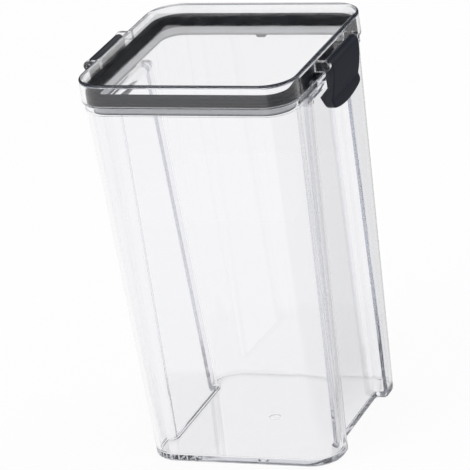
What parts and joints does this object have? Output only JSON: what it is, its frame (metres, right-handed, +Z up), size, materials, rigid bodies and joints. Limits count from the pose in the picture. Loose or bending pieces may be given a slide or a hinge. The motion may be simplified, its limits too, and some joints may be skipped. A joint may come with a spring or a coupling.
{
  "type": "food storage container",
  "caption": "Tall square clear plastic food storage container with grip recesses and a sealed lid held by charcoal flip latches on opposite sides.",
  "frame": {"origin": "middle of the base, on the surface that the container stands on", "axes": "+Z up along the container, +X towards the right latch, +Y towards the back"},
  "size_m": [0.1208, 0.105, 0.189],
  "materials": {
    "clear_body": "clear, gloss moulded",
    "clear_lid": "clear, gloss moulded",
    "seal_silicone": "matt silicone",
    "latch_plastic": "satin moulded",
    "pin_plastic": "satin moulded"
  },
  "bodies": {
    "container": {"container_body": "clear_body"},
    "lid": {"lid_cover": "clear_lid", "seal_ring": "seal_silicone", "right_hinge_pin": "pin_plastic", "left_hinge_pin": "pin_plastic"},
    "right_latch": {"right_latch": "latch_plastic"},
    "left_latch": {"left_latch": "latch_plastic"}
  },
  "joints": [
    {"name": "lid_lift", "type": "slide", "parent": "container", "child": "lid", "axis": [0, 0, 1], "range_m": [0, 0.036]},
    {"name": "right_latch_hinge", "type": "hinge", "parent": "lid", "child": "right_latch", "pos_m": [0.05725, 0, 0.1851], "axis": [0, -1, 0], "range_deg": [0, 140]},
    {"name": "left_latch_hinge", "type": "hinge", "parent": "lid", "child": "left_latch", "pos_m": [-0.05725, 0, 0.1851], "axis": [0, 1, 0], "range_deg": [0, 140]}
  ],
  "couplings": [
    {"joint": "right_latch_hinge", "follows": "lid_lift", "rad_per_m": 67.874},
    {"joint": "left_latch_hinge", "follows": "lid_lift", "rad_per_m": 67.874}
  ]
}
